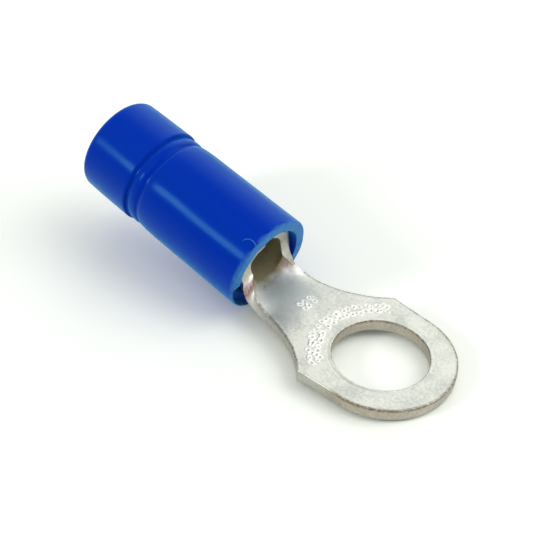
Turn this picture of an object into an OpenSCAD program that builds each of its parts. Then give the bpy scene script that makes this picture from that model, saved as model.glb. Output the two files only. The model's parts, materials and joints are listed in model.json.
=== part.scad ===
// Insulated ring terminal for 16-14 AWG (1.5-2.5 mm2) wire and a #10 / M5 stud.
// Units are millimetres. The origin is the centre of the stud hole on the tongue's
// underside, +Z is the stud's axis and +X points to the tip of the ring.
// The terminal is one strip of copper, blanked, curled and rolled. The sleeve is one
// moulding that is pushed on to the barrel from behind.

/* [Strip] */
// Thickness of the copper strip
stock_t = 0.8; // [0.6:0.05:1]

/* [Stud ring] */
// Diameter of the stud hole
stud_hole_d = 5.1; // [4.2:0.1:5.4]
// Outer diameter of the round end
ring_d = 7.6; // [7:0.1:8.4]
// How far the round end's centre lies ahead of the stud hole
ring_lead = 0.2; // [0:0.05:0.5]
// Width across the two blunt corners behind the hole
corner_w = 7.8; // [7.7:0.1:9]

/* [Neck] */
// Width of the neck at its narrowest
neck_w = 3.9; // [3.2:0.1:4.6]
// Stud hole centre to the point where the neck is narrowest
neck_reach = 6.9; // [6.6:0.1:7.4]
// Radius of the concave flare from the neck out to the corners
flare_r = 6.5; // [5.5:0.1:7.5]
// Length over which the flat neck curls up into a trough
curl_l = 2.7; // [2.2:0.1:3.2]
// Length of the bend that cranks the barrel up from the tongue
crank_l = 1.5; // [1:0.1:2]
// Angle between the tongue and the barrel
crank_angle = 9; // [3:0.5:14]

/* [Wire barrel] */
// Outside diameter of the rolled barrel
barrel_d = 3.9; // [3.6:0.05:4.1]
// Length of the full tube
barrel_l = 5.8; // [4.5:0.1:6.5]
// Stud hole centre to the front edge of the tube
barrel_reach = 8.5; // [8.3:0.1:9]
// Radius of the blank's inner corner, where neck meets barrel wing
shoulder_r = 1.2; // [0.7:0.1:1.4]
// Gap left between the two butted edges
seam_gap = 0.12; // [0.06:0.02:0.3]
// Width of the notch that the blank's clipped corners leave at the seam
seam_notch_w = 0.6; // [0.4:0.1:1]
// Depth of that notch
seam_notch_l = 0.45; // [0.2:0.05:0.8]

/* [Sleeve outside] */
// Length of the sleeve
sleeve_l = 11.75; // [10.8:0.05:12.5]
// How far the sleeve's front rim reaches past the barrel's front edge
front_overhang = 0.4; // [0.2:0.05:0.7]
// Diameter of the body behind its front rim
body_d = 5.6; // [5.3:0.02:5.8]
// How much slimmer the body is where it starts behind the front
body_taper = 0.06; // [0:0.02:0.12]
// Diameter of the rear collar
collar_d = 5.58; // [5.3:0.02:5.8]
// How much the collar swells from its rear rim to its front lip
lip_h = 0.04; // [0.02:0.01:0.08]
// Break of the collar's front edge
lip_break = 0.05; // [0.03:0.01:0.1]
// Length of the rear collar
collar_l = 3.45; // [2.6:0.05:3.8]
// Diameter of the waist that carries the bead
waist_d = 5.28; // [5.1:0.02:5.34]
// Length of the waist between collar and body
waist_l = 1; // [0.9:0.05:1.2]
// Width of the bead in the middle of the waist
bead_w = 0.62; // [0.4:0.02:0.7]
// Height of the bead above the waist
bead_h = 0.1; // [0.06:0.01:0.14]
// Height of the small step where the waist ends
ramp_step = 0.05; // [0.03:0.01:0.08]
// Length of the curved ramp from that step up to the body
ramp_l = 1.2; // [0.8:0.1:1.6]
// Rounding of the rear rim
rear_round = 0.35; // [0.2:0.05:0.4]
// Rounding of the front rim
front_round = 0.12; // [0.05:0.01:0.2]

/* [Sleeve inside] */
// Diameter of the front mouth, open round the barrel
mouth_d = 4.3; // [4.2:0.05:4.5]
// Depth of the front mouth
mouth_l = 1.4; // [0.8:0.1:2]
// Length of the cone from the mouth to the grip
mouth_cone_l = 0.6; // [0.4:0.1:1]
// Clearance all round between the grip bore and the barrel
grip_clearance = 0.02; // [0.01:0.005:0.05]
// Diameter of the wire entry, for the wire's insulation
entry_d = 4.3; // [3.8:0.05:4.4]
// Length of the funnel that guides the bare strands
funnel_l = 0.9; // [0.6:0.1:1.2]
// Length of the narrow throat between the funnel and the barrel
throat_l = 0.5; // [0.3:0.1:0.8]
// How much wider the throat is than the barrel's bore, across
throat_clearance = 0.4; // [0.35:0.05:0.6]
// Break of the edge round the wire entry
entry_break = 0.15; // [0.05:0.05:0.2]

/* [Hidden] */
$fn = 96;

// A small overlap that makes touching solids one
joint_lap = 0.1;
// How far the lapping skins stay inside the tube's wall
lap_inset = 0.01;
// A length that is sure to clear the part
clear_l = 2 * sleeve_l;

neck_half = neck_w / 2;
flare_rise = (corner_w - neck_w) / 2;
corner_x = -neck_reach + sqrt(flare_rise * (2 * flare_r - flare_rise));
curl_x = -(barrel_reach - curl_l);

barrel_r = barrel_d / 2;
bore_r = barrel_r - stock_t;
roll_r = barrel_r - stock_t / 2;
crank_r = crank_l / (crank_angle * PI / 180);

grip_r = barrel_r + grip_clearance;
throat_r = bore_r + throat_clearance / 2;
// Along the sleeve from its rear rim: the barrel's rear edge, and the end of the entry
barrel_back = sleeve_l - front_overhang - barrel_l;
entry_l = barrel_back - throat_l - funnel_l;

// A curl too slight to see, which keeps the curl's formula finite where the strip is flat
least_curl = 0.001;

// 1 tightens the curl evenly, more keeps the neck flat for longer
CURL_POWER = 1.5;
CURL_STEPS = 7;
SHOULDER_STEPS = 6;
SKIN_STEPS = 16;
ARC_STEPS = 5;

// ---------- blank ----------

// Where the straight side leaves the corner and touches the round end
function side_tangent() =
    let (dx = corner_x - ring_lead,
         dy = corner_w / 2,
         reach = sqrt(dx * dx + dy * dy),
         angle = atan2(dy, dx) - acos(ring_d / 2 / reach))
    [ring_lead + ring_d / 2 * cos(angle), ring_d / 2 * sin(angle)];

// Half the blank's width at a distance s along the curl, measured in the flat
function blank_half(s) =
    let (flare = max(0, neck_reach + curl_x - s),
         shoulder = max(0, s - (curl_l - shoulder_r)))
    neck_half
    + flare_r - sqrt(flare_r * flare_r - flare * flare)
    + shoulder_r - sqrt(max(0, shoulder_r * shoulder_r - shoulder * shoulder));

// ---------- curl and crank ----------

// How tightly the strip is curled at s: flat at the start, and at the barrel's full roll
// from where it enters the sleeve
function curl(s) =
    max(least_curl, pow(min(1, max(0, s) / (curl_l - front_overhang)), CURL_POWER)) / roll_r;

// The crank's angle at s, in degrees
function crank(s) =
    crank_angle * min(1, max(0, (s - (curl_l - crank_l)) / crank_l));

// The middle of the strip at s, as [x, z]
function spine(s) =
    let (a = crank(s), before = min(s, curl_l - crank_l), after = max(0, s - curl_l))
    [curl_x - before - crank_r * sin(a) - after * cos(a),
     stock_t / 2 + crank_r * (1 - cos(a)) + after * sin(a)];

// A point of the curled strip: s along it, v across it in the flat, h off its middle
function strip_point(s, v, h) =
    let (k = curl(s),
         turn = v * k * 180 / PI,
         y = sin(turn) / k - h * sin(turn),
         up = (1 - cos(turn)) / k + h * cos(turn),
         a = crank(s),
         base = spine(s))
    [base[0] + up * sin(a), y, base[1] + up * cos(a)];

// The closed outline of the strip's section at s, inner skin first
function strip_section(s, inset = 0) =
    let (half = blank_half(min(s, curl_l)) - inset,
         skin = stock_t / 2 - inset)
    [for (side = [1, -1])
        for (i = [0:SKIN_STEPS])
            strip_point(s, side * half * (2 * i / SKIN_STEPS - 1), side * skin)];

// Stations along the curl: even steps, then steps that follow the shoulder's arc
function curl_stations() =
    concat([for (i = [1:CURL_STEPS - 1]) (curl_l - shoulder_r) * i / CURL_STEPS],
           [for (i = [0:SHOULDER_STEPS - 1])
               curl_l - shoulder_r * (1 - sin(90 * i / SHOULDER_STEPS))]);

// A closed skin through a list of sections that have the same number of points
module loft(sections) {
    n = len(sections[0]);
    half = n / 2;
    last = (len(sections) - 1) * n;
    walls = [for (row = [0:len(sections) - 2]) for (i = [0:n - 1])
                let (j = (i + 1) % n)
                [row * n + j, row * n + i, row * n + i + n, row * n + j + n]];
    start_cap = [for (i = [0:half - 2]) [i, i + 1, n - 2 - i, n - 1 - i]];
    end_cap = [for (i = [0:half - 2])
                  [last + i + 1, last + i, last + n - 1 - i, last + n - 2 - i]];
    polyhedron([for (section = sections) each section], concat(walls, start_cap, end_cap));
}

// Turns the barrel's own frame, +X out of its front along its axis, into the tongue's
module at_barrel() {
    base = spine(curl_l);
    translate([base[0], 0, base[1]])
        rotate([0, crank_angle, 0])
            translate([0, 0, roll_r])
                children();
}

// ---------- terminal ----------

module tongue_outline() {
    tangent = side_tangent();
    difference() {
        union() {
            translate([ring_lead, 0])
                circle(d = ring_d);
            polygon([tangent,
                     [corner_x, corner_w / 2],
                     [-neck_reach, corner_w / 2],
                     [-neck_reach, -corner_w / 2],
                     [corner_x, -corner_w / 2],
                     [tangent[0], -tangent[1]]]);
        }
        for (side = [1, -1])
            translate([-neck_reach, side * (neck_half + flare_r)])
                circle(r = flare_r);
        translate([curl_x - clear_l, -clear_l / 2])
            square(clear_l);
        circle(d = stud_hole_d);
    }
}

module tongue() {
    linear_extrude(stock_t)
        tongue_outline();
}

// Both ends run a little way into the tongue and the tube, just inside their skins
module trough() {
    loft(concat([strip_section(-joint_lap, lap_inset),
                 strip_section(0, lap_inset)],
                [for (s = curl_stations()) strip_section(s)],
                [strip_section(curl_l, lap_inset),
                 strip_section(curl_l + joint_lap, lap_inset)]));
}

module barrel() {
    at_barrel()
        difference() {
            rotate([0, -90, 0])
                cylinder(r = barrel_r, h = barrel_l);
            translate([clear_l / 2, 0, 0])
                rotate([0, -90, 0])
                    cylinder(r = bore_r, h = clear_l);
            translate([-clear_l / 2, -seam_gap / 2, 0])
                cube([clear_l, seam_gap, clear_l]);
            linear_extrude(clear_l)
                polygon([[-seam_notch_l, 0],
                         [joint_lap, seam_notch_w / 2],
                         [joint_lap, -seam_notch_w / 2]]);
        }
}

module terminal() {
    color("gainsboro")
        union() {
            tongue();
            trough();
            barrel();
        }
}

// ---------- sleeve ----------

// Points of an arc about [r, s], from angle a0 to a1
function arc(r, s, radius, a0, a1) =
    [for (i = [0:ARC_STEPS])
        let (a = a0 + (a1 - a0) * i / ARC_STEPS)
        [r + radius * cos(a), s + radius * sin(a)]];

// The sleeve's section as [radius, distance from the rear rim]
function sleeve_outside() =
    concat(
        arc(collar_d / 2 - rear_round, rear_round, rear_round, -90, 0),
        [[collar_d / 2 + lip_h, collar_l - lip_break],
         [collar_d / 2 + lip_h - lip_break, collar_l],
         [waist_d / 2, collar_l]],
        bead_points(),
        [[waist_d / 2, collar_l + waist_l]],
        ramp_points(),
        arc(body_d / 2 - front_round, sleeve_l - front_round, front_round, 0, 90));

// The bead's rounded top, a half wave in the middle of the waist
function bead_points() =
    [for (i = [0:2 * ARC_STEPS])
        let (a = 90 * i / ARC_STEPS)
        [waist_d / 2 + bead_h * sin(a), collar_l + (waist_l - bead_w * cos(a)) / 2]];

// The ramp's curve, steep at the step and level where it meets the body
function ramp_points() =
    let (foot = waist_d / 2 + ramp_step, rise = (body_d - body_taper) / 2 - foot)
    [for (i = [0:ARC_STEPS])
        let (a = 90 * i / ARC_STEPS)
        [foot + rise * sin(a), collar_l + waist_l + ramp_l * (1 - cos(a))]];

function sleeve_inside() =
    [[mouth_d / 2, sleeve_l],
     [mouth_d / 2, sleeve_l - mouth_l],
     [grip_r, sleeve_l - mouth_l - mouth_cone_l],
     [grip_r, barrel_back],
     [throat_r, barrel_back],
     [throat_r, barrel_back - throat_l],
     [entry_d / 2, entry_l],
     [entry_d / 2, entry_break],
     [entry_d / 2 + entry_break, 0]];

module sleeve() {
    color("royalblue")
        at_barrel()
            translate([front_overhang - sleeve_l, 0, 0])
                rotate([0, 90, 0])
                    rotate_extrude()
                        polygon(concat(sleeve_outside(), sleeve_inside()));
}

terminal();
sleeve();
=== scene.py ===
"""Insulated ring terminal: a stamped, curled and tinned copper terminal in a vinyl sleeve."""

import json
import math

import bmesh
import bpy
import numpy as np
from bpy.props import FloatProperty, FloatVectorProperty, IntProperty, PointerProperty
from mathutils import Matrix, Vector


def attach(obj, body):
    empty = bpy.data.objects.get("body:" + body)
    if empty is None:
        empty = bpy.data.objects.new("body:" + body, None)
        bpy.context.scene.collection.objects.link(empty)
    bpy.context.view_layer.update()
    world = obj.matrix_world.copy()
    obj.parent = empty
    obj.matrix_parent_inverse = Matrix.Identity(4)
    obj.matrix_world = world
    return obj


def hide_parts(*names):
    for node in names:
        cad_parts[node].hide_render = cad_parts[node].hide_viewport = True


bl_info = {
    "name": "Ring Terminal",
    "version": (1, 0, 0),
    "blender": (4, 5, 0),
    "location": "3D View > Sidebar > Ring Terminal",
    "description": "An insulated ring terminal with its finishes, its floor and its lights",
    "category": "Add Mesh",
}

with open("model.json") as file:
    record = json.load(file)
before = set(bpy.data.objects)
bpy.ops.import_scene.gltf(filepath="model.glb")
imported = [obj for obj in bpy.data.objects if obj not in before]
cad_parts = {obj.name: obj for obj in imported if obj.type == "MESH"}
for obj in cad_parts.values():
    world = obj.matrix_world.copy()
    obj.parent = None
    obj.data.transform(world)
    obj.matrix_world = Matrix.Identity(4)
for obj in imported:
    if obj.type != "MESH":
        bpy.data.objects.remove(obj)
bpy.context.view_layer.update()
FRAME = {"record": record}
MOUNTS = {mount["name"]: mount for mount in FRAME["record"]["mounts"]}

MM = 0.001
FULL_TURN = 2 * math.pi
COINCIDENT = 1e-8


# ---------- measures ----------


def linear(hex_colour):
    """Turns an sRGB hex value to Blender's linear colour."""
    parts = np.array([int(hex_colour[i:i + 2], 16) for i in (1, 3, 5)]) / 255
    dark = parts <= 0.04045
    return tuple(np.where(dark, parts / 12.92, ((parts + 0.055) / 1.055) ** 2.4))


def length(name, description, millimetres):
    """A length that a user may change."""
    return FloatProperty(
        name=name, description=description, default=millimetres * MM,
        min=0, precision=5, subtype="DISTANCE", unit="LENGTH",
    )


def angle(name, description, degrees):
    """An angle that a user may change."""
    return FloatProperty(
        name=name, description=description, default=math.radians(degrees),
        subtype="ANGLE", unit="ROTATION",
    )


def tint(name, description, hex_colour):
    """A colour that a user may change."""
    return FloatVectorProperty(
        name=name, description=description, default=linear(hex_colour),
        min=0, max=1, size=3, subtype="COLOR",
    )


class TerminalSizes(bpy.types.PropertyGroup):
    """Sizes of the copper terminal, as stamped and curled."""

    stock_t: length("Strip thickness", "Thickness of the copper strip", 0.8)
    stud_hole_r: length("Stud hole radius", "Radius of the hole for the stud", 2.55)
    ring_r: length("Ring radius", "Radius of the ring's round end", 3.8)
    ring_lead: length("Ring lead", "How far the round end lies ahead of the hole", 0.2)
    corner_w: length("Corner width", "Width of the tongue at its corners", 7.8)
    neck_w: length("Neck width", "Width of the flat neck", 3.9)
    neck_reach: length("Neck reach", "From the hole to the neck's narrowest part", 6.9)
    flare_r: length("Flare radius", "Radius of the waisted sides", 6.5)
    curl_l: length("Curl length", "Length over which the neck curls into the barrel", 2.7)
    crank_l: length("Crank length", "Length over which the neck cranks up", 1.5)
    crank_angle: angle("Crank angle", "How far the barrel tilts up from the tongue", 9)
    front_overhang: length("Front overhang", "How far the sleeve covers the barrel's front", 0.4)
    barrel_r: length("Barrel radius", "Outside radius of the rolled barrel", 1.95)
    barrel_l: length("Barrel length", "Length of the rolled barrel", 5.8)
    barrel_reach: length("Barrel reach", "From the hole to the barrel's front edge", 8.5)
    shoulder_r: length("Shoulder radius", "Radius where the neck widens to the barrel", 1.2)
    seam_gap: length("Seam gap", "Gap between the barrel's rolled edges", 0.12)
    seam_notch_w: length("Seam notch width", "Width of the nick at the seam's front", 0.49)
    seam_notch_l: length("Seam notch length", "Length of the nick at the seam's front", 0.34)
    burr_round: length("Burr edge", "Rounding of the upper edges, where the punch broke out", 0.03)
    burr_h: length("Burr height", "How far the burr stands over the upper skin", 0.012)
    die_roll: length("Die roll", "Rounding of the lower edges, where the punch went in", 0.24)
    mark_depth: length("Mark depth", "Depth of the coined pips round the hole", 0.045)


class SleeveSizes(bpy.types.PropertyGroup):
    """Sizes of the vinyl sleeve, as moulded."""

    sleeve_l: length("Sleeve length", "Length of the sleeve", 11.75)
    front_overhang: length("Front overhang", "How far the sleeve covers the barrel's front", 0.4)
    body_r: length("Body radius", "Outside radius of the body at its front", 2.8)
    body_taper: length("Body taper", "How much narrower the body's rear is", 0.03)
    collar_r: length("Collar radius", "Outside radius of the rear collar", 2.79)
    lip_h: length("Lip height", "How far the collar's lip stands proud", 0.04)
    lip_break: length("Lip break", "Rounding of the collar's lip", 0.05)
    collar_l: length("Collar length", "Length of the rear collar", 3.45)
    waist_r: length("Waist radius", "Outside radius of the waist behind the body", 2.64)
    waist_l: length("Waist length", "Length of the waist", 1)
    bead_w: length("Bead width", "Width of the bead round the waist", 0.62)
    bead_h: length("Bead height", "Height of the bead round the waist", 0.1)
    ramp_step: length("Ramp step", "Step where the ramp to the body begins", 0.05)
    ramp_l: length("Ramp length", "Length of the ramp to the body", 1.2)
    rear_round: length("Rear rounding", "Rounding of the rear rim", 0.35)
    front_round: length("Front rounding", "Rounding of the front rim", 0.12)
    mouth_r: length("Mouth radius", "Radius of the front mouth", 2.15)
    mouth_l: length("Mouth length", "Length of the front mouth", 1.4)
    cone_l: length("Cone length", "Length of the cone behind the mouth", 0.6)
    grip_r: length("Grip radius", "Radius of the bore that grips the barrel", 1.97)
    throat_r: length("Throat radius", "Radius of the throat behind the barrel", 1.35)
    throat_l: length("Throat length", "Length of the throat", 0.5)
    funnel_l: length("Funnel length", "Length of the funnel that guides the wire", 0.9)
    entry_r: length("Entry radius", "Radius of the wire's entry", 2.15)
    entry_break: length("Entry break", "Chamfer of the wire's entry", 0.15)
    hair_angle: angle("Flash hair angle", "Place of the hair of flash round the front rim", -33.5)
    hair_l: length("Flash hair reach", "How far the hair of flash reaches back", 0.8)
    hair_t: length("Flash hair thickness", "Thickness of the hair of flash", 0.07)


class Finishes(bpy.types.PropertyGroup):
    """Colours of the finishes."""

    tin: tint("Tin", "Matt electro-tin where it is thick", "#CDCFC5")
    tin_worn: tint("Worn tin", "Tin rubbed in handling", "#B5B8B0")
    # Painted highlight: this near-white colour brightens the pips' raised lips and the pressed
    # beads, where light catches them.
    coined: tint("Coined tin", "Bright tin on the coined pips and beads", "#F6F6F0")
    # Painted shade and painted bluish reflection: this greyer, cooler tin darkens the middle of
    # the curl. Only its extra roughness is the tin's own.
    burnish_and_shade: tint("Burnished tin", "Tin pressed smooth by the curling tool", "#B5BCBA")
    copper: tint("Thin tin", "Thin tin on the torn part of sheared edges", "#C0AE92")
    # Real copper where the tin cracked off on the near wing. The same colour also paints a copper
    # reflection inside the far wing.
    raw: tint("Copper", "Copper where the tin has cracked off", "#95595A")
    burr: tint("Burr", "Dark line of the torn burr", "#4C4238")
    # Painted shade: the bore's dark olive colour stands for the shade inside the barrel. Only its
    # extra roughness is the tin's own.
    bore: tint("Bore", "Dull untouched tin inside the barrel", "#9C9476")
    vinyl: tint("Vinyl", "The blue of the moulded sleeve", "#0028AE")
    vinyl_pale: tint("Stressed vinyl", "Vinyl at its trimmed front rim", "#3E78BE")


class StageSettings(bpy.types.PropertyGroup):
    """Camera, floor and lights."""

    azimuth: angle("Camera azimuth", "Camera's place round the part", 39.41)
    elevation: angle("Camera elevation", "Camera's height over the tongue", 40.7)
    roll: angle("Camera roll", "Turn of the camera about its view", 4.42)
    distance: length("Camera distance", "From the ring to the camera", 69.34)
    shift_right: length("Camera offset right", "How far the camera stands to the left", 5.806)
    shift_up: length("Camera offset up", "How far the camera stands below", -4.404)
    lens: FloatProperty(name="Lens", description="Focal length in mm", default=90.77)
    floor_size: length("Floor size", "Side of the floor", 400)
    floor_colour: tint("Floor", "The plain pale floor", "#F4F3EE")
    floor_level: FloatProperty(
        name="Floor brightness", description="As the camera sees it", default=1.14,
    )
    floor_tone: tint("Floor tone", "Faint tone of the card as the camera sees it", "#FBFFF8")
    sky: FloatProperty(
        name="Room light", description="Strength of the even room light", default=0.52,
    )
    steps: IntProperty(name="Floor steps", description="Cells along the floor's side", default=24)


# ---------- surfaces ----------


def ripple(points, wavelength, seed, waves=14):
    """A smooth random field of about -1 to 1: the sum of plane sine waves that run in random
    directions, with lengths round one wavelength."""
    rng = np.random.default_rng(seed)
    heading = rng.normal(size=(waves, 3))
    heading /= np.linalg.norm(heading, axis=1, keepdims=True)
    heading /= wavelength * rng.uniform(0.7, 1.4, (waves, 1))
    phase = rng.uniform(0, FULL_TURN, waves)
    return np.sin(FULL_TURN * points @ heading.T + phase).sum(-1) / math.sqrt(1.5 * waves)


def ease(x, start, end):
    """Rises smoothly from 0 at start to 1 at end: 3t^2 - 2t^3."""
    t = np.clip((x - start) / (end - start), 0, 1)
    return t * t * (3 - 2 * t)


def hump(x, middle, half_width):
    """A bell of height 1: exp(-((x - middle) / half_width)^2)."""
    return np.exp(-(((x - middle) / half_width) ** 2))


def arc(centre, radius, start, end, count):
    """Points of a circle's arc in the plane, between two angles from the first axis."""
    turn = np.linspace(start, end, count)[:, None]
    return np.asarray(centre) + radius * np.hstack([np.cos(turn), np.sin(turn)])


def path_length(points):
    """Distance along a path, at each of its points."""
    step = np.linalg.norm(np.diff(points, axis=0), axis=1)
    return np.concatenate([[0], np.cumsum(step)])


def along(points, where):
    """Points of a path at given distances along it."""
    run = path_length(points)
    return np.stack([np.interp(where, run, points[:, i]) for i in range(points.shape[1])], -1)


def running_mean(points, width):
    """Each column averaged over a bell-shaped window, in samples."""
    reach = 3 * width
    weight = hump(np.arange(-reach, reach + 1), 0, width * math.sqrt(2))
    weight /= weight.sum()
    return np.stack([np.convolve(column, weight, "valid") for column in points.T], -1)


def grid_faces(rows, columns, start=0, wrap=False):
    """Quads of a grid whose points are numbered row by row. With wrap, both ways close."""
    row = np.arange(rows if wrap else rows - 1)[:, None]
    column = np.arange(columns if wrap else columns - 1)[None, :]
    next_row, next_column = (row + 1) % rows, (column + 1) % columns
    corners = [
        row * columns + column,
        next_row * columns + column,
        next_row * columns + next_column,
        row * columns + next_column,
    ]
    shape = np.broadcast(row, column).shape
    quads = np.stack([np.broadcast_to(corner, shape) for corner in corners], -1)
    return start + quads.reshape(-1, 4)


def make_piece(name, grids, marks=None, merge=None, wrap=False):
    """Makes a mesh object from grids of points, with one float attribute for each mark. Points
    of neighbouring grids that coincide are merged, and the faces are turned outwards."""
    points = np.concatenate([grid.reshape(-1, 3) for grid in grids])
    starts = np.concatenate([[0], np.cumsum([grid.shape[0] * grid.shape[1] for grid in grids])])
    faces = np.concatenate([
        grid_faces(grid.shape[0], grid.shape[1], start, wrap) for grid, start in zip(grids, starts)
    ])
    mesh = bpy.data.meshes.new(name)
    mesh.from_pydata(points, [], faces.tolist())
    for mark, values in (marks or {}).items():
        layer = mesh.attributes.new(mark, "FLOAT", "POINT")
        joined = np.concatenate([value.ravel() for value in values])
        layer.data.foreach_set("value", joined.astype(np.float32))
    close_up(mesh, merge)
    mesh.polygons.foreach_set("use_smooth", np.ones(len(mesh.polygons), bool))
    mesh.update()
    piece = bpy.data.objects.new(name, mesh)
    bpy.context.scene.collection.objects.link(piece)
    return piece


def close_up(mesh, merge):
    """Merges points closer than merge and turns the closed shell's faces outwards."""
    shell = bmesh.new()
    shell.from_mesh(mesh)
    if merge:
        bmesh.ops.remove_doubles(shell, verts=shell.verts, dist=merge)
    bmesh.ops.recalc_face_normals(shell, faces=shell.faces)
    shell.to_mesh(mesh)
    shell.free()


# ---------- the blank in the flat ----------


def blank_legs(p):
    """Legs of half the blank's outline in the flat, from the ring's tip to the middle of the
    barrel's rear edge. Each leg is [points, samples, inner], where inner is the distance along
    the hole's rim and then the middle line that the rows reach at the leg's end."""
    corner_half, neck_half = p.corner_w / 2, p.neck_w / 2
    rise = corner_half - neck_half
    corner_x = -p.neck_reach + math.sqrt(rise * (2 * p.flare_r - rise))
    to_corner = math.hypot(corner_x - p.ring_lead, corner_half)
    touch = math.atan2(corner_half, corner_x - p.ring_lead) - math.acos(p.ring_r / to_corner)
    ring = arc((p.ring_lead, 0), p.ring_r, 0, touch, 200)
    flare_angle = math.asin((corner_x + p.neck_reach) / p.flare_r)
    down = -math.pi / 2
    flare = arc((-p.neck_reach, neck_half + p.flare_r), p.flare_r, down + flare_angle, down, 200)
    split = 80
    seam_start = -p.barrel_reach - p.seam_notch_l
    front = -p.barrel_reach
    rear = front - p.barrel_l
    roll_r = p.barrel_r - p.stock_t / 2
    seam_v = math.pi * roll_r - p.seam_gap / 2
    notch_v = math.pi * roll_r - p.seam_notch_w / 2
    shoulder_x = front + p.shoulder_r
    shoulder = arc((shoulder_x, neck_half + p.shoulder_r), p.shoulder_r, down, -math.pi, 80)
    half_rim = math.pi * (p.stud_hole_r + p.burr_round)
    rim_at_touch, rim_at_corner = 0.475, 0.655

    def behind(x):
        return half_rim - (p.stud_hole_r + p.burr_round) - x

    return [
        (ring, 96, half_rim * rim_at_touch),
        (np.array([ring[-1], flare[0]]), 40, half_rim * rim_at_corner),
        (flare[:split + 1], 64, half_rim),
        (flare[split:], 64, behind(-6.5 * MM)),
        (np.array([flare[-1], shoulder[0]]), 8, behind(shoulder_x + 0.15 * MM)),
        (shoulder, 36, behind(front + 0.35 * MM)),
        (np.array([shoulder[-1], [front, notch_v]]), 20, behind(front - 0.4 * MM)),
        (np.array([[front, notch_v], [seam_start, seam_v]]), 10, behind(front - 0.8 * MM)),
        (np.array([[seam_start, seam_v], [rear, seam_v]]), 50, behind(rear + 1.5 * MM)),
        (np.array([[rear, seam_v], [rear, 0]]), 40, behind(rear + 0.6 * MM)),
    ]


def blank_rows(p):
    """Outline points and their outward normals, each row's lower rounding and inner distance,
    and how many rows start on the hole. Corners are eased by a running mean along the outline,
    and the lower rounding fades out toward the barrel and at the sharp corners."""
    legs = blank_legs(p)
    path = np.concatenate([leg[0] if i == 0 else leg[0][1:] for i, leg in enumerate(legs)])
    leg_ends = np.concatenate([[0], np.cumsum([path_length(leg[0])[-1] for leg in legs])])
    fine, window = 0.01 * MM, 5
    total = leg_ends[-1]
    even = along(path, np.linspace(0, total, int(total / fine)))
    flip = np.array([1, -1])
    reach = 3 * window
    padded = np.concatenate([even[reach:0:-1] * flip, even, even[-2:-reach - 2:-1] * flip])
    even = running_mean(padded, window)
    even[0, 1] = even[-1, 1] = 0
    slope = np.gradient(np.concatenate([even[1:2] * flip, even, even[-2:-1] * flip]), axis=0)[1:-1]
    normal = np.stack([slope[:, 1], -slope[:, 0]], -1)
    run = path_length(even)
    leg_ends = leg_ends * run[-1] / total
    steps = np.cumsum([0] + [leg[1] for leg in legs])
    row = np.arange(steps[-1] + 1)
    where = np.interp(row, steps, leg_ends)
    outer = along(even, where)
    normal = np.stack([np.interp(where, run, normal[:, i]) for i in (0, 1)], -1)
    normal /= np.linalg.norm(normal, axis=1, keepdims=True)
    inner = np.interp(row, steps, [0] + [leg[2] for leg in legs])
    # The last row lies on the middle line, so it starts where the row before it does.
    inner[-1] = inner[-2]
    share = np.interp(row, steps, [1, 1, 1, 1, 1, 1, 0.8, 0.45, 0.25, 0.25, 0.25])
    sharp_corners = (2, 7, 9)
    corners = sum(hump(where, leg_ends[i], 0.3 * MM) for i in sharp_corners)
    lower = p.die_roll * share * (1 - 0.8 * np.minimum(corners, 1))
    return outer, normal, lower, inner, steps[3]


def inner_points(p, distance, inset):
    """Points of the rows' inner ends: along the hole's rim at an inset, then along the middle
    line, where the inset dies away."""
    half_rim = math.pi * (p.stud_hole_r + p.burr_round)
    turn = np.minimum(distance / half_rim, 1) * math.pi
    past = np.maximum(distance - half_rim, 0)
    rim = p.stud_hole_r + inset
    x = np.where(
        past > 0,
        -(p.stud_hole_r + p.burr_round) - past - (inset - p.burr_round) * np.exp(-past / MM),
        rim * np.cos(turn),
    )
    y = np.where(turn > math.pi - 1e-9, 0, rim * np.sin(turn))
    return np.stack([x, y], -1)


def edge_profile(p, upper, lower, count=6):
    """The sheared edge in section, from the upper skin to the lower, for each row's upper and
    lower rounding: inset and height along a small quarter round, a straight wall and a larger
    quarter round."""
    half = p.stock_t / 2
    turn = np.linspace(0, math.pi / 2, count)[None, :]
    upper, lower = upper[:, None], lower[:, None]
    top_in = upper * (1 - np.sin(turn))
    top_h = half - upper * (1 - np.cos(turn))
    low_in = lower * (1 - np.cos(turn))
    low_h = -half + lower * (1 - np.sin(turn))
    share = np.linspace(0, 1, 8)[None, 1:-1]
    wall_h = top_h[:, -1:] * (1 - share) + low_h[:, :1] * share
    return (
        np.hstack([top_in, 0 * wall_h, low_in]),
        np.hstack([top_h, wall_h, low_h]),
    )


def curled(p, x, v, h):
    """Takes a point of the flat blank to the finished terminal. At a distance s behind the
    curl's start, the strip lies on a circle of curvature k(s), which grows as s squared up
    to the barrel's, and its spine turns up through the crank's angle on an arc. One wing stands
    a little open at the barrel's front and the other a little closed."""
    curl_start = -(p.barrel_reach - p.curl_l)
    opened, closed, wing_root = 0.09, 0.03, 1.5 * MM
    nearly_flat = 1e-3
    s = curl_start - x
    roll_r = p.barrel_r - p.stock_t / 2
    tightening = np.clip(s / (p.curl_l - p.front_overhang), 0, 1) ** 2
    at_wings = hump(s, 2.6 * MM, 0.6 * MM)
    opening = at_wings * (opened * ease(v, 0, wing_root) - closed * ease(-v, 0, wing_root))
    k = np.maximum(nearly_flat, tightening) / roll_r * (1 - opening)
    crank_r = p.crank_l / p.crank_angle
    a = p.crank_angle * np.clip((s - (p.curl_l - p.crank_l)) / p.crank_l, 0, 1)
    before = np.minimum(s, p.curl_l - p.crank_l)
    after = np.maximum(0, s - p.curl_l)
    base_x = curl_start - before - crank_r * np.sin(a) - after * np.cos(a)
    base_z = p.stock_t / 2 + crank_r * (1 - np.cos(a)) + after * np.sin(a)
    y = np.sin(v * k) / k - h * np.sin(v * k)
    up = (1 - np.cos(v * k)) / k + h * np.cos(v * k)
    return np.stack([base_x + up * np.sin(a), y, base_z + up * np.cos(a)], -1)


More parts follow.
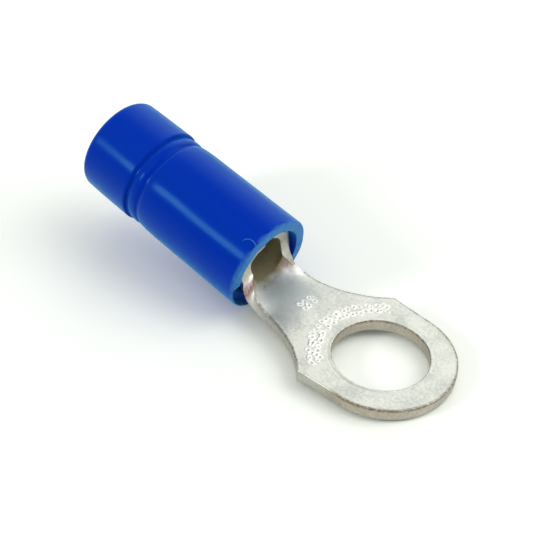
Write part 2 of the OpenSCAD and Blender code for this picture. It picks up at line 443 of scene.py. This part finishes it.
def coined_pips(p, x, v):
    """Rise of plain coined pips: a band of two rows that follows the hole's rim on the barrel's
    side, and a small patch of two by three on the neck. Each pip is an oval dent with a raised
    lip, and their places, sizes and directions are scattered. Places are in millimetres."""
    rng = np.random.default_rng(11)
    per_row, band_r, row_offset = 24, 3.46, 0.21
    band_start, band_end = 123, 235
    scatter, turn_scatter = 0.05, 0.02
    turn = np.radians(np.repeat(np.linspace(band_start, band_end, per_row), 2))
    turn = turn + rng.normal(size=len(turn)) * turn_scatter
    rows = np.tile([-row_offset, row_offset], per_row)
    radius = (band_r + rows + rng.normal(size=len(turn)) * scatter) * MM
    band = np.stack([radius * np.cos(turn), radius * np.sin(turn)], -1)
    patch = np.stack(np.meshgrid([-5.38, -5.02], [-0.16, 0.2, 0.56], indexing="ij"), -1)
    patch = patch.reshape(-1, 2)
    patch = (patch + rng.normal(size=patch.shape) * scatter) * MM
    middle = np.vstack([band, patch])
    strength = rng.uniform(0.5, 1.3, len(middle))
    lie = rng.uniform(0, math.tau, len(middle))
    stretch = rng.uniform(1.0, 1.45, len(middle))
    size = rng.uniform(0.075, 0.105, len(middle)) * MM
    rise = np.zeros_like(x)
    for (cx, cv), force, way, oval, r in zip(middle, strength, lie, stretch, size):
        dx, dv = x - cx, v - cv
        ahead = dx * np.cos(way) + dv * np.sin(way)
        across = dv * np.cos(way) - dx * np.sin(way)
        away = np.hypot(ahead / oval, across)
        half_depth = 0.6 * force * p.mark_depth
        rise -= half_depth * (1 - ease(away, 0.2 * r, 1.1 * r))
        rise += half_depth * hump(away, 1.2 * r, 0.6 * r)
    return rise


def pressed_beads(x, v):
    """Height of the small beads that the curling tool's corners squeeze up where the neck meets
    the barrel: bells on the flat blank, each given as x, v, radius and height in millimetres."""
    beads = ((-7.69, 1.29, 0.24, 0.02), (-7.17, 1.8, 0.24, 0.06), (-7.97, -2.08, 0.16, 0.06))
    return MM * sum(
        h * hump(np.hypot(x - bx * MM, v - bv * MM), 0, r * MM) for bx, bv, r, h in beads
    )


def skin_height(p, x, v, to_edge):
    """Rise of the upper skin: slight rolling waves, the burr along its edges, a faint ring that
    the stripper leaves round the hole, a press mark where the barrel begins, and the pips."""
    long_wave, short_wave = 0.010 * MM, 0.003 * MM
    stripper_depth, press_depth = 0.012 * MM, 0.007 * MM
    flat = np.stack([x, v, 0 * x], -1)
    across = np.stack([0 * x, v, 0 * x], -1)
    waves = long_wave * ripple(flat, 2.4 * MM, 5) + short_wave * ripple(flat, 0.6 * MM, 6)
    uneven = 0.7 + 0.5 * ripple(flat, 0.5 * MM, 7)
    burr = p.burr_h * hump(to_edge, 0.045 * MM, 0.03 * MM) * uneven
    mouth = -p.barrel_reach + 0.75 * MM + 0.12 * MM * ripple(across, 1.6 * MM, 12)
    press = hump(x, mouth, 0.16 * MM) * (1 + 0.5 * ripple(flat, 0.5 * MM, 13))
    stripper = hump(np.hypot(x, v), p.stud_hole_r + 0.2 * MM, 0.06 * MM)
    calm = ease(to_edge, 0, 0.2 * MM)
    tooling = waves - stripper_depth * stripper + coined_pips(p, x, v) - press_depth * press
    return calm * tooling + pressed_beads(x, v) + burr


def bare_copper(p, x, v, level):
    """How far the torn upper part of a sheared wall shows copper through thin tin. It is strong
    round the ring and inside the hole, less at the tip, and faint along the neck."""
    tip, tip_width = 5, 25
    on_ring, in_hole, on_neck = 0.7, 0.6, 0.22
    turn = np.degrees(np.arctan2(v, x - p.ring_lead))
    ring = on_ring * ease(x, -1.4 * MM, 0.4 * MM) * (1 - 0.6 * hump(turn, tip, tip_width))
    hole = np.hypot(x, v) < p.stud_hole_r * 1.02
    neck = on_neck * ease(-x, 1.5 * MM, 3 * MM)
    torn = 0.4 + 0.6 * ease(level, 0.3, 0.62)
    return np.where(hole, in_hole, np.maximum(ring, neck)) * torn


def cracked_tin_and_copper_reflection(x, v):
    """Where the tin cracked off in curling: a patch on one wing's edge. The fainter copper patch
    inside the other wing is a painted copper reflection."""
    wing = 1.4 * hump(x, -7.76 * MM, 0.2 * MM) * hump(v, -2.1 * MM, 0.4 * MM)
    # Painted reflection: a faint copper tint on the far wing's inner face.
    inside = 0.75 * hump(x, -7.72 * MM, 0.25 * MM) * hump(v, 1.75 * MM, 0.45 * MM)
    return np.minimum(wing + inside, 1)


def near_corner(p, x, v):
    """1 round the one corner whose edge was rubbed smooth and bright, 0 elsewhere."""
    corner_x = -1.3 * MM
    return 1 - ease(np.hypot(x - corner_x, v + p.corner_w / 2), 0.9 * MM, 1.7 * MM)


def finish_marks(p, x, v, h, from_top):
    """How far each point of the blank lies in the bore, which is rougher and carries painted
    shade; lies on the curl's inside, which is rougher and carries painted shade and a painted
    bluish reflection; lost its tin in curling, where one patch is a painted copper reflection; or
    carries the painted highlight of the coined pips and beads."""
    on_top = h > 0.39 * MM
    fringe = 0.14 * MM * ripple(np.stack([x, v, 0 * x], -1), 0.9 * MM, 14)
    into_bore_shade = ease(-x + fringe, p.barrel_reach - 0.95 * MM, p.barrel_reach - 0.35 * MM)
    along_curl = ease(-x, 4 * MM, 6.4 * MM)
    toward_wings = 0.7 * ease(abs(v), 0.8 * MM, 1.8 * MM)
    # The coined colour is a painted highlight on the pressed beads and on the pips' raised lips.
    coined = np.clip(pressed_beads(x, v) / (0.04 * MM), 0, 1)
    if from_top:
        lip_glints = np.clip(coined_pips(p, x, v) / (0.5 * p.mark_depth), 0, 1)
        coined = np.maximum(coined, 0.75 * lip_glints)
    return {
        # bore: painted shade inside the barrel
        "bore": into_bore_shade * on_top,
        "raw": cracked_tin_and_copper_reflection(x, v),
        # Painted shade and painted bluish reflection along the middle of the curl, which is also
        # rougher
        "burnish_and_shade": along_curl * (1 - toward_wings) * on_top,
        "coined": coined,
    }


def half_terminal(p, side):
    """Grids of one half: upper skin, lower skin, outer edge and the hole's edge, with the marks
    that its finish follows. A skin's rows run straight over the flat blank, from the hole's rim
    or the middle line out to the outline, and an edge's rows go down its rounded section, which
    the tear roughens. All are then curled, and each skin ends on its edges' own points, so that
    the shell closes."""
    outer, normal, lower, inner, on_hole = blank_rows(p)
    half = p.stock_t / 2
    hole_roll = 0.7 * p.die_roll
    spoke = inner_points(p, inner, 0)[:on_hole + 1] / p.stud_hole_r
    hole_lower = np.full(on_hole + 1, hole_roll)
    hole_upper = np.full(on_hole + 1, p.burr_round)
    rubbed = 0.02 * MM * near_corner(p, outer[:, 0], side * outer[:, 1])
    upper = p.burr_round + rubbed
    grids = []
    marks = {name: [] for name in ("bare", "burr", "bore", "raw", "burnish_and_shade", "coined")}

    def lay(flat, h, bare=0, burr=0):
        x, v = flat[..., 0], side * flat[..., 1]
        grids.append(curled(p, x, v, h))
        from_top = h[0, 0] > 0.35 * MM
        values = {"bare": bare, "burr": burr, **finish_marks(p, x, v, h, from_top)}
        for name, value in values.items():
            marks[name].append(np.broadcast_to(value, h.shape))

    def skin(columns, inset, rim):
        start = inner_points(p, inner, rim)
        end = outer - normal * inset[:, None]
        share = np.linspace(0, 1, columns + 1)[None, :, None]
        flat = start[:, None] * (1 - share) + end[:, None] * share
        return flat, share[..., 0], np.linalg.norm(end - start, axis=1)[:, None]

    flat, share, span = skin(60, upper, p.burr_round)
    x, v = flat[..., 0], side * flat[..., 1]
    rows = np.arange(len(outer))[:, None]
    past_rim = np.hypot(x, flat[..., 1]) - p.stud_hole_r - p.burr_round
    from_hole = np.where(rows <= on_hole, share * span, past_rim)
    to_outline = (1 - share) * span
    rise = skin_height(p, x, v, np.maximum(0, np.minimum(from_hole, to_outline)))
    dark_line = hump(to_outline, 0, 0.06 * MM) * (1 - near_corner(p, x, v))
    lay(flat, half + rise, burr=dark_line)
    flat, share, span = skin(20, lower, hole_roll)
    lay(flat, -half + 0 * flat[..., 0])
    for points, out, top, low in (
        (outer, normal, upper, lower), (spoke * p.stud_hole_r, -spoke, hole_upper, hole_lower)
    ):
        inset, h = edge_profile(p, top, low)
        level = (h + half) / p.stock_t
        on_wall = 1 - inset / np.maximum(inset.max(1, keepdims=True), 1e-9)
        place = np.stack([points[:, 0], side * points[:, 1], 0 * points[:, 0]], -1)
        tear = 0.006 * MM * ripple(place, 0.6 * MM, 8) + 0.005 * MM * ripple(place, 0.22 * MM, 9)
        tear = tear[:, None] * on_wall * ease(level, 0.3, 0.7)
        tear = tear + pressed_beads(place[:, 0], place[:, 1])[:, None]
        flat = points[:, None] - out[:, None] * (inset - tear)[..., None]
        x, v = points[:, :1] + 0 * h, side * points[:, 1:] + 0 * h
        torn_line = hump(level, 0.94, 0.09) * ease(x, -9 * MM, -5 * MM)
        torn_line = torn_line * (1 - near_corner(p, x, v))
        lay(flat, h, bare_copper(p, x, v, level), torn_line)
    upper_skin, lower_skin, outline, rim = grids
    for skin_grid, column in ((upper_skin, 0), (lower_skin, -1)):
        skin_grid[:, -1] = outline[:, column]
        skin_grid[:on_hole + 1, 0] = rim[:, column]
    return grids, marks


class RINGTERMINAL_OT_terminal(bpy.types.Operator):
    """Make the stamped and curled copper terminal in place of its plain solid"""

    bl_idname = "ringterminal.terminal"
    bl_label = "Tinned terminal"

    def execute(self, context):
        p = context.scene.terminal_sizes
        (near, near_marks), (far, far_marks) = half_terminal(p, -1), half_terminal(p, 1)
        marks = {name: near_marks[name] + far_marks[name] for name in near_marks}
        piece = make_piece("tinned_terminal", near + far, marks, merge=COINCIDENT)
        piece.data.materials.append(matt_tin(context.scene.finishes))
        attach(piece, "root")
        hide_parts("terminal")
        return {"FINISHED"}


# ---------- the sleeve ----------


def barrel_frame():
    """Middle of the barrel's front edge, the axis out of its front, and the two directions
    across it."""
    mount = MOUNTS["wire_barrel"]
    forward = -np.array(mount["axis"])
    middle = np.array(mount["pos_m"])
    origin = middle + forward * mount["dims"]["length_mm"] / 2 * MM
    side = np.array([0.0, 1.0, 0.0])
    return origin, forward, side, np.cross(forward, side)


def sleeve_legs(p):
    """Legs of the sleeve's closed section as [radius, distance from the rear rim], with the
    number of samples of each: outside from the rear rim to the front, then back inside."""
    quarter = math.pi / 2
    lip = p.collar_r + p.lip_h
    ramp_at = p.collar_l + p.waist_l
    foot = p.waist_r + p.ramp_step
    rise = p.body_r - p.body_taper - foot
    wave = np.linspace(0, math.pi, 40)
    bead = np.stack([
        p.waist_r + p.bead_h * np.sin(wave), p.collar_l + (p.waist_l - p.bead_w * np.cos(wave)) / 2
    ], -1)
    climb = np.linspace(0, quarter, 30)
    ramp = np.stack([foot + rise * np.sin(climb), ramp_at + p.ramp_l * (1 - np.cos(climb))], -1)
    back = p.sleeve_l - p.front_overhang - frame_barrel_length()
    entry_l = back - p.throat_l - p.funnel_l
    front = p.sleeve_l

    def line(*ends):
        return np.array(ends)

    rear_middle = (p.collar_r - p.rear_round, p.rear_round)
    rear_arc = arc(rear_middle, p.rear_round, -quarter, 0, 30)
    front_middle = (p.body_r - p.front_round, front - p.front_round)
    front_arc = arc(front_middle, p.front_round, 0, quarter, 20)
    return [
        (rear_arc, 14),
        (line(rear_arc[-1], (lip, p.collar_l - p.lip_break)), 24),
        (line((lip, p.collar_l - p.lip_break), (lip - p.lip_break, p.collar_l)), 4),
        (line((lip - p.lip_break, p.collar_l), (p.waist_r, p.collar_l)), 5),
        (line((p.waist_r, p.collar_l), bead[0]), 5),
        (bead, 20),
        (line(bead[-1], (p.waist_r, ramp_at)), 5),
        (line((p.waist_r, ramp_at), ramp[0]), 3),
        (ramp, 16),
        (line(ramp[-1], front_arc[0]), 40),
        (front_arc, 10),
        (line(front_arc[-1], (p.mouth_r, front)), 10),
        (line((p.mouth_r, front), (p.mouth_r, front - p.mouth_l)), 16),
        (line((p.mouth_r, front - p.mouth_l), (p.grip_r, front - p.mouth_l - p.cone_l)), 5),
        (line((p.grip_r, front - p.mouth_l - p.cone_l), (p.grip_r, back)), 12),
        (line((p.grip_r, back), (p.throat_r, back)), 5),
        (line((p.throat_r, back), (p.throat_r, back - p.throat_l)), 5),
        (line((p.throat_r, back - p.throat_l), (p.entry_r, entry_l)), 10),
        (line((p.entry_r, entry_l), (p.entry_r, p.entry_break)), 20),
        (line((p.entry_r, p.entry_break), (p.entry_r + p.entry_break, 0)), 4),
        (line((p.entry_r + p.entry_break, 0), rear_arc[0]), 4),
    ]


def frame_barrel_length():
    """Length of the barrel, from its mount."""
    return MOUNTS["wire_barrel"]["dims"]["length_mm"] * MM


def sleeve_section(p):
    """The sleeve's closed section with its corners eased as a mould leaves them."""
    legs = sleeve_legs(p)
    path = np.concatenate([leg[0][:-1] for leg in legs] + [legs[0][0][:1]])
    ends = np.concatenate([[0], np.cumsum([path_length(leg[0])[-1] for leg in legs])])
    fine, window = 0.005 * MM, 4
    even = along(path, np.linspace(0, ends[-1], int(ends[-1] / fine)))[:-1]
    reach = 3 * window
    even = running_mean(np.concatenate([even[-reach:], even, even[:reach]]), window)
    even = np.vstack([even, even[:1]])
    counts = np.cumsum([0] + [leg[1] for leg in legs])
    where = np.interp(np.arange(counts[-1]), counts, ends) * (path_length(even)[-1] / ends[-1])
    return along(even, where)


def around_barrel(turn):
    """Directions out from the barrel's axis at each angle from its top: up by the angle's
    cosine and across by its sine."""
    _, _, side, up = barrel_frame()
    return np.cos(turn)[:, None] * up + np.sin(turn)[:, None] * side


def sleeve_surface(p):
    """The sleeve's points, and how pale its trimmed rim is at each. The section is carried round
    the barrel's axis. The front edge is ragged by a fine ripple, the rim sinks on one side behind
    a thin outer edge, and the outside swells along a slow ripple. On that sunken side the rim's
    paleness is taken away, which is painted shade."""
    section = sleeve_section(p)
    r, reach = section[:, 0], section[:, 1]
    turn = np.linspace(0, FULL_TURN, 288, endpoint=False)
    origin, forward, _, _ = barrel_frame()
    spoke = around_barrel(turn)
    along_axis = reach[None, :, None] - p.sleeve_l + p.front_overhang
    points = origin + spoke[:, None] * r[None, :, None] + forward * along_axis
    ragged = ripple(spoke * MM, 0.35 * MM, 21) + 0.6 * ripple(spoke * MM, 0.12 * MM, 22)
    front = ease(reach, p.sleeve_l - 0.35 * MM, p.sleeve_l) * (r > p.mouth_r * 0.99)
    points = points + forward * (0.012 * MM * ragged[:, None] * front[None, :])[..., None]
    sunken = ease(-np.cos(turn), 0.1, 0.3) * ease(-np.sin(turn), 0, 0.3)
    inner = 1 - ease(r, p.body_r - 0.2 * MM, p.body_r - 0.08 * MM)
    near_front = inner * ease(reach, p.sleeve_l - 0.9 * MM, p.sleeve_l)
    points = points - forward * (0.4 * MM * (sunken[:, None] * near_front[None, :]))[..., None]
    outside = ease(r, p.waist_r - 0.25 * MM, p.waist_r - 0.05 * MM)
    swell = 0.008 * MM * ripple(points, 3.5 * MM, 23) * outside[None, :]
    points = points + spoke[:, None] * swell[..., None]
    widest_at = math.radians(285)
    trim = (0.1 + 0.05 * ragged + 0.12 * hump(turn, widest_at, 0.5)) * MM
    rim = ease(reach[None, :], p.sleeve_l - 0.04 * MM - trim[:, None], p.sleeve_l - 0.03 * MM)
    rim = rim * ease(r[None, :], p.mouth_r - 0.01 * MM, p.mouth_r + 0.06 * MM)
    # Painted shade: the pale rim is taken away on the sunken lower side, where the rim lies in
    # shade.
    rim = rim * (1 - 0.9 * (sunken[:, None] > 0.5) * inner[None, :])
    return points, rim


class RINGTERMINAL_OT_sleeve(bpy.types.Operator):
    """Make the moulded vinyl sleeve in place of its plain solid"""

    bl_idname = "ringterminal.sleeve"
    bl_label = "Vinyl sleeve"

    def execute(self, context):
        points, rim = sleeve_surface(context.scene.sleeve_sizes)
        piece = make_piece("vinyl_sleeve", [points], {"rim": [rim]}, wrap=True)
        piece.data.materials.append(moulded_vinyl(context.scene.finishes))
        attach(piece, "root")
        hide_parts("sleeve")
        return {"FINISHED"}


def hair_tube(p):
    """A thin tube round a cubic Bezier curve, which is drawn on the sleeve's skin as an angle
    and a reach back from the rim. The tube tapers, and closes to a point at both ends."""
    origin, forward, _, _ = barrel_frame()
    t = np.linspace(0, 1, 60)[:, None]
    bend = np.radians([[0, 4.5, 3.5, -4.5]]) + p.hair_angle
    back = np.array([[0.02, 0.3, 0.98, 1.0]]) * p.hair_l
    weight = np.hstack([(1 - t) ** 3, 3 * t * (1 - t) ** 2, 3 * t * t * (1 - t), t ** 3])
    turn, reach = (weight * bend).sum(1), (weight * back).sum(1)
    spoke = around_barrel(turn)
    lift = p.body_r + 0.3 * p.hair_t
    middle = origin + spoke * lift + forward * (p.front_overhang - reach)[:, None]
    run = np.gradient(middle, axis=0)
    run /= np.linalg.norm(run, axis=1, keepdims=True)
    across = np.cross(run, spoke)
    ring = np.linspace(0, FULL_TURN, 13)[None, :, None]
    ends = np.sqrt(np.clip(1 - (2 * t - 1) ** 8, 0, 1))
    radius = p.hair_t / 2 * ends * (1 - 0.45 * t)
    round_it = np.cos(ring) * spoke[:, None] + np.sin(ring) * across[:, None]
    return middle[:, None] + radius[..., None] * round_it


class RINGTERMINAL_OT_hair(bpy.types.Operator):
    """Make the fine hair of flash that curls back from the sleeve's front rim"""

    bl_idname = "ringterminal.hair"
    bl_label = "Flash hair"

    def execute(self, context):
        points = hair_tube(context.scene.sleeve_sizes)
        pale = {"rim": [np.ones(points.shape[:2])]}
        piece = make_piece("flash_hair", [points], pale, merge=COINCIDENT)
        piece.data.materials.append(bpy.data.materials["moulded_blue_vinyl"])
        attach(piece, "root")
        return {"FINISHED"}


# ---------- finishes ----------


def add(tree, kind, inputs=None, **settings):
    """Adds a node with its settings. Each input is a value, or another node's socket."""
    node = tree.nodes.new(kind)
    for name, value in settings.items():
        setattr(node, name, value)
    for name, value in (inputs or {}).items():
        if isinstance(value, bpy.types.NodeSocket):
            tree.links.new(value, node.inputs[name])
        else:
            node.inputs[name].default_value = value
    return node


def new_material(name):
    """An empty material and its node tree."""
    material = bpy.data.materials.new(name)
    material.use_nodes = True
    material.node_tree.nodes.clear()
    return material, material.node_tree


def matt_tin(colours):
    """Copper strip, blanked, coined and curled, then barrel plated with matt electro-tin. The tin
    scatters light softly and is faintly mottled, and it thins to brown copper where the punch
    sheared the edges. Painted shade darkens the barrel's bore, painted shade and a painted bluish
    reflection grey the middle of the curl, a painted copper reflection tints the inside of one
    wing, and a painted highlight brightens the coined pips and pressed beads."""
    material, tree = new_material("matt_electro_tin_on_copper")
    place = add(tree, "ShaderNodeTexCoord").outputs["Object"]
    # Handling rubs the tin in blotches about 1 mm wide. The plating's own grain, a few microns
    # wide, is drawn at 0.16 mm so that it shows.
    blotch = add(tree, "ShaderNodeTexNoise", {
        "Vector": place, "Scale": 1 / (1.1 * MM), "Detail": 3.0,
    }).outputs["Fac"]
    grain = add(tree, "ShaderNodeTexNoise", {
        "Vector": place, "Scale": 1 / (0.16 * MM), "Detail": 4.0,
    }).outputs["Fac"]
    fleck = add(tree, "ShaderNodeMath", {0: grain, 1: 0.7, 2: blotch}, operation="MULTIPLY_ADD")
    wear = add(tree, "ShaderNodeMapRange", {
        "Value": fleck.outputs[0], "From Min": 0.75, "From Max": 1.1,
    })
    colour = add(tree, "ShaderNodeMix", {
        0: wear.outputs["Result"], 6: (*colours.tin, 1), 7: (*colours.tin_worn, 1),
    }, data_type="RGBA")
    patchy = add(tree, "ShaderNodeMapRange", {
        "Value": grain, "From Min": 0.3, "From Max": 0.7, "To Min": 0.35, "To Max": 1.0,
    }).outputs["Result"]
    marks = {}
    for mark, over, broken_up in (
        # Painted shade and painted bluish reflection on the curl's middle
        ("burnish_and_shade", colours.burnish_and_shade, False),
        # Painted highlight on the coined pips and pressed beads
        ("coined", colours.coined, False),
        ("bare", colours.copper, True),
        ("burr", colours.burr, True),
        # bore: painted shade inside the barrel
        ("bore", colours.bore, False),
        ("raw", colours.raw, True),
    ):
        marks[mark] = share = add(tree, "ShaderNodeAttribute", attribute_name=mark).outputs["Fac"]
        if broken_up:
            share = add(tree, "ShaderNodeMath", {
                0: share, 1: patchy,
            }, operation="MULTIPLY").outputs[0]
        colour = add(tree, "ShaderNodeMix", {
            0: share, 6: colour.outputs[2], 7: (*over, 1),
        }, data_type="RGBA")
    rough = add(tree, "ShaderNodeMapRange", {
        "Value": grain, "From Min": 0.3, "From Max": 0.7, "To Min": 0.3, "To Max": 0.44,
    }).outputs["Result"]
    for mark, duller in (("bore", 0.2), ("burnish_and_shade", 0.25)):
        rough = add(tree, "ShaderNodeMath", {
            0: marks[mark], 1: duller, 2: rough,
        }, operation="MULTIPLY_ADD").outputs[0]
    relief = add(tree, "ShaderNodeBump", {"Height": grain, "Distance": 0.01 * MM, "Strength": 0.8})
    finish = add(tree, "ShaderNodeBsdfPrincipled", {
        "Base Color": colour.outputs[2], "Metallic": 1.0, "Roughness": rough,
        "Normal": relief.outputs["Normal"],
    })
    add(tree, "ShaderNodeOutputMaterial", {"Surface": finish.outputs["BSDF"]})
    return material


def moulded_vinyl(colours):
    """Rigid vinyl, injection moulded in a polished tool: a deep even blue with a soft gloss that
    stays blue at the sides, a faint orange-peel grain, and a paler rim where the moulding was
    trimmed. The rim is left deep blue on its sunken lower side, which is painted shade."""
    material, tree = new_material("moulded_blue_vinyl")
    place = add(tree, "ShaderNodeTexCoord").outputs["Object"]
    # Orange peel comes about every 0.2 mm, and the gloss varies over a few millimetres.
    peel = add(tree, "ShaderNodeTexNoise", {
        "Vector": place, "Scale": 1 / (0.22 * MM), "Detail": 3.0,
    }).outputs["Fac"]
    cloud = add(tree, "ShaderNodeTexNoise", {
        "Vector": place, "Scale": 1 / (2.5 * MM), "Detail": 2.0,
    }).outputs["Fac"]
    rim = add(tree, "ShaderNodeAttribute", attribute_name="rim").outputs["Fac"]
    patchy = add(tree, "ShaderNodeMapRange", {
        "Value": peel, "From Min": 0.35, "From Max": 0.65, "To Min": 0.6, "To Max": 1.0,
    })
    stress = add(tree, "ShaderNodeMath", {
        0: rim, 1: patchy.outputs["Result"],
    }, operation="MULTIPLY")
    colour = add(tree, "ShaderNodeMix", {
        0: stress.outputs[0], 6: (*colours.vinyl, 1), 7: (*colours.vinyl_pale, 1),
    }, data_type="RGBA")
    rough = add(tree, "ShaderNodeMapRange", {
        "Value": cloud, "From Min": 0.3, "From Max": 0.7, "To Min": 0.2, "To Max": 0.27,
    })
    relief = add(tree, "ShaderNodeBump", {"Height": peel, "Distance": 0.008 * MM, "Strength": 0.6})
    finish = add(tree, "ShaderNodeBsdfPrincipled", {
        "Base Color": colour.outputs[2], "Roughness": rough.outputs["Result"], "IOR": 1.53,
        "Specular IOR Level": 0.09, "Specular Tint": (0.0, 0.9, 1.0, 1.0),
        "Coat Weight": 0.03, "Coat Roughness": 0.16,
        "Sheen Weight": 0.9, "Sheen Roughness": 0.4, "Sheen Tint": (0.02, 0.6, 1.0, 1.0),
        "Normal": relief.outputs["Normal"],
    })
    add(tree, "ShaderNodeOutputMaterial", {"Surface": finish.outputs["BSDF"]})
    return material


# ---------- the stage ----------


def floor_slope():
    """The plane that the part rests on: level across, and through the ring's lower tip and the
    lowest edge of the sleeve's front rim. Returns its slope along X and its height at X = 0."""
    p, sleeve = bpy.context.scene.terminal_sizes, bpy.context.scene.sleeve_sizes
    origin, forward, _, up = barrel_frame()
    rim = origin + forward * sleeve.front_overhang - up * (sleeve.body_r + 0.01 * MM)
    tip_x = p.ring_lead + p.ring_r
    slope = (0 - rim[2]) / (tip_x - rim[0])
    return slope, -slope * tip_x


def pale_floor(settings):
    """Matt white card. The camera sees it as plain white, and it still takes the shadows."""
    material, tree = new_material("matt_white_card")
    path = add(tree, "ShaderNodeLightPath")
    seen = tuple(settings.floor_level * part for part in settings.floor_tone)
    colour = add(tree, "ShaderNodeMix", {
        0: path.outputs["Is Camera Ray"], 6: (*settings.floor_colour, 1), 7: (*seen, 1),
    }, data_type="RGBA")
    finish = add(tree, "ShaderNodeBsdfDiffuse", {"Color": colour.outputs[2]})
    add(tree, "ShaderNodeOutputMaterial", {"Surface": finish.outputs["BSDF"]})
    return material


def white_room(settings):
    """An even room light, seen as plain white directly, in gloss and through clear things."""
    world = bpy.data.worlds.new("white_room")
    world.use_nodes = True
    tree = world.node_tree
    tree.nodes.clear()
    path = add(tree, "ShaderNodeLightPath").outputs
    seen = path["Is Camera Ray"]
    for ray in ("Is Transmission Ray", "Is Glossy Ray"):
        seen = add(tree, "ShaderNodeMath", {0: seen, 1: path[ray]}, operation="MAXIMUM").outputs[0]
    strength = add(tree, "ShaderNodeMapRange", {
        "Value": seen, "To Min": settings.sky, "To Max": 1.0,
    })
    light = add(tree, "ShaderNodeBackground", {"Strength": strength.outputs["Result"]})
    add(tree, "ShaderNodeOutputWorld", {"Surface": light.outputs["Background"]})
    bpy.context.scene.world = world


def view_direction(azimuth, elevation):
    """Unit vector toward a place round the part: the azimuth turns from -Y toward +X, and the
    elevation climbs toward +Z."""
    return Vector((
        math.sin(azimuth) * math.cos(elevation),
        -math.cos(azimuth) * math.cos(elevation),
        math.sin(elevation),
    ))


def soft_light(name, azimuth, elevation, distance, size, power):
    """A square soft box that faces the part, from a direction given as the camera's is."""
    middle = Vector((-5 * MM, 0, 0))
    back = view_direction(math.radians(azimuth), math.radians(elevation))
    lamp = bpy.data.lights.new(name, "AREA")
    lamp.shape, lamp.size, lamp.energy = "SQUARE", size, power
    holder = bpy.data.objects.new(name, lamp)
    holder.location = middle + back * distance
    holder.rotation_mode = "QUATERNION"
    holder.rotation_quaternion = back.to_track_quat("Z", "Y")
    bpy.context.scene.collection.objects.link(holder)


def place_camera(settings):
    """Stands the camera off the ring's middle along its direction, offset across its view."""
    roll = settings.roll
    back = view_direction(settings.azimuth, settings.elevation)
    level = Vector((math.cos(settings.azimuth), math.sin(settings.azimuth), 0))
    upright = back.cross(level)
    right = level * math.cos(roll) + upright * math.sin(roll)
    up = upright * math.cos(roll) - level * math.sin(roll)
    sizes = bpy.context.scene.terminal_sizes
    aim = Vector((sizes.ring_lead, 0, sizes.stock_t))
    lens = bpy.data.cameras.new("camera")
    lens.lens, lens.sensor_width = settings.lens, 36
    lens.clip_start, lens.clip_end = 1 * MM, 5
    camera = bpy.data.objects.new("camera", lens)
    spot = aim + back * settings.distance - right * settings.shift_right - up * settings.shift_up
    turn = Matrix((right, up, back)).transposed()
    camera.matrix_world = Matrix.Translation(spot) @ turn.to_4x4()
    bpy.context.scene.collection.objects.link(camera)
    bpy.context.scene.camera = camera


class RINGTERMINAL_OT_stage(bpy.types.Operator):
    """Lay the pale floor, light the part softly and place the camera"""

    bl_idname = "ringterminal.stage"
    bl_label = "Stage"

    def execute(self, context):
        settings = context.scene.stage_settings
        slope, height = floor_slope()
        line = np.linspace(-0.5, 0.5, settings.steps) * settings.floor_size
        x, y = np.meshgrid(line, line, indexing="ij")
        floor = make_piece("floor", [np.stack([x, y, height + slope * x], -1)])
        floor.data.materials.append(pale_floor(settings))
        white_room(settings)
        # Each soft box: azimuth, elevation, distance, size in metres, power in watts.
        soft_light("right_soft_box", 132, 50, 0.35, 0.3, 0.6)
        soft_light("rear_soft_box", 195, 48, 0.35, 0.25, 0.03)
        soft_light("rear_left_soft_box", -150, 35, 0.35, 0.25, 0.12)
        soft_light("front_left_soft_box", -27, 28, 0.35, 0.07, 0.29)
        soft_light("front_top_soft_box", -20, 62, 0.35, 0.25, 0.12)
        place_camera(settings)
        context.scene.view_settings.view_transform = "Standard"
        return {"FINISHED"}


class RINGTERMINAL_PT_panel(bpy.types.Panel):
    """Lists the pieces of the ring terminal"""

    bl_idname = "RINGTERMINAL_PT_panel"
    bl_label = "Ring Terminal"
    bl_space_type = "VIEW_3D"
    bl_region_type = "UI"
    bl_category = "Ring Terminal"

    def draw(self, context):
        for operator in OPERATORS:
            self.layout.operator(operator.bl_idname)
        for group in GROUPS:
            box = self.layout.box()
            box.label(text=GROUPS[group].__doc__)
            settings = getattr(context.scene, group)
            for name in GROUPS[group].__annotations__:
                box.prop(settings, name)


OPERATORS = (
    RINGTERMINAL_OT_terminal,
    RINGTERMINAL_OT_sleeve,
    RINGTERMINAL_OT_hair,
    RINGTERMINAL_OT_stage,
)
GROUPS = {
    "terminal_sizes": TerminalSizes,
    "sleeve_sizes": SleeveSizes,
    "finishes": Finishes,
    "stage_settings": StageSettings,
}


def register():
    """Registers the groups, operators and panel."""
    for name, group in GROUPS.items():
        bpy.utils.register_class(group)
        setattr(bpy.types.Scene, name, PointerProperty(type=group))
    for kind in (*OPERATORS, RINGTERMINAL_PT_panel):
        bpy.utils.register_class(kind)


def unregister():
    """Takes them away again."""
    for kind in (RINGTERMINAL_PT_panel, *reversed(OPERATORS)):
        bpy.utils.unregister_class(kind)
    for name, group in reversed(GROUPS.items()):
        delattr(bpy.types.Scene, name)
        bpy.utils.unregister_class(group)


def main():
    """Builds everything in order."""
    register()
    bpy.ops.ringterminal.terminal()
    bpy.ops.ringterminal.sleeve()
    bpy.ops.ringterminal.hair()
    bpy.ops.ringterminal.stage()


if __name__ == "__main__":
    main()
